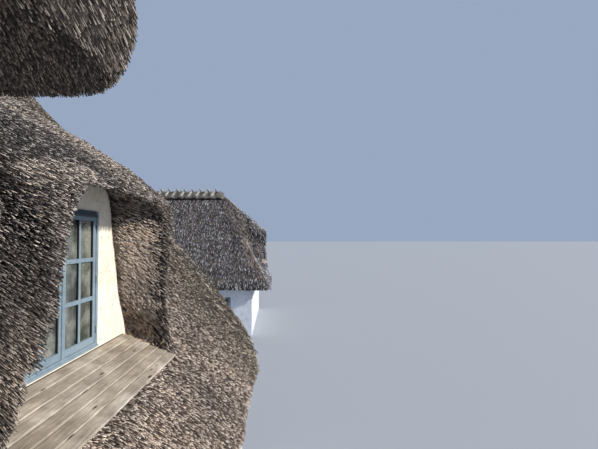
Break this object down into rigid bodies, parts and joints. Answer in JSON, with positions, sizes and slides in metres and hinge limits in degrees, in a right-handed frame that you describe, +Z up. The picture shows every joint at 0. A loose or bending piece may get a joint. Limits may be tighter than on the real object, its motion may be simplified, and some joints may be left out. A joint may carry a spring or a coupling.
{
  "type": "thatched cottage",
  "caption": "Long thatched farmhouse with white walls, swept dormers over painted casements, a hooded front bay, and a hipped cross wing joined by a low link.",
  "frame": {"origin": "at ground level, under the middle of the whole plan", "axes": "+X along the main range towards the cross wing, -Y towards the garden front, +Z up"},
  "size_m": [37.112, 13.637, 8.4826],
  "materials": {
    "reed_thatch": "weathered water reed, dressed by hand",
    "ridge_straw": "weathered straw under wooden riders",
    "limewashed_plaster": "limewashed lime plaster on masonry",
    "painted_boards": "white paint on planed boards",
    "painted_joinery": "satin slate blue paint",
    "deck_boards": "bare weathered softwood",
    "floor_boards": "oiled softwood",
    "screed": "trowelled screed",
    "window_glass": "clear float glass"
  },
  "bodies": {
    "root": {"main_ground_floor": "screed", "link_floor": "screed", "wing_ground_floor": "screed", "main_upper_floor": "floor_boards", "wing_upper_floor": "floor_boards", "main_front_wall": "limewashed_plaster", "main_front_window_1": "painted_joinery", "main_front_window_2": "painted_joinery", "main_front_window_3": "painted_joinery", "main_front_window_4": "painted_joinery", "front_door": "painted_joinery", "main_back_wall": "limewashed_plaster", "main_back_window_1": "painted_joinery", "main_back_window_2": "painted_joinery", "main_back_window_3": "painted_joinery", "main_west_gable_wall": "limewashed_plaster", "west_gable_window": "painted_joinery", "main_east_gable_wall": "limewashed_plaster", "link_front_wall": "limewashed_plaster", "link_window_1": "painted_joinery", "link_window_2": "painted_joinery", "link_back_wall": "limewashed_plaster", "wing_west_wall": "limewashed_plaster", "wing_west_window": "painted_joinery", "wing_east_wall": "limewashed_plaster", "wing_east_window_1": "painted_joinery", "wing_east_window_2": "painted_joinery", "wing_garden_wall": "limewashed_plaster", "garden_door": "painted_joinery", "wing_back_wall": "limewashed_plaster", "front_bay_walls": "limewashed_plaster", "main_west_dormer_boards": "painted_boards", "main_west_dormer_deck": "deck_boards", "main_west_dormer_window_frame": "painted_joinery", "main_west_dormer_window_glass": "window_glass", "main_east_dormer_boards": "painted_boards", "main_east_dormer_deck": "deck_boards", "main_east_dormer_window_frame": "painted_joinery", "main_east_dormer_window_glass": "window_glass", "wing_dormer_boards": "painted_boards", "wing_dormer_deck": "deck_boards", "wing_dormer_window_frame": "painted_joinery", "wing_dormer_window_glass": "window_glass", "front_bay_window_frame": "painted_joinery", "front_bay_window_glass": "window_glass", "main_thatch_front": "reed_thatch", "main_thatch_back": "reed_thatch", "front_bay_thatch": "reed_thatch", "main_ridge_cap": "ridge_straw", "wing_thatch_garden_hip": "reed_thatch", "wing_thatch_back_hip": "reed_thatch", "wing_thatch_west": "reed_thatch", "wing_thatch_east": "reed_thatch", "wing_ridge_cap": "ridge_straw", "link_thatch": "reed_thatch", "link_ridge_cap": "ridge_straw"}
  },
  "joints": []
}
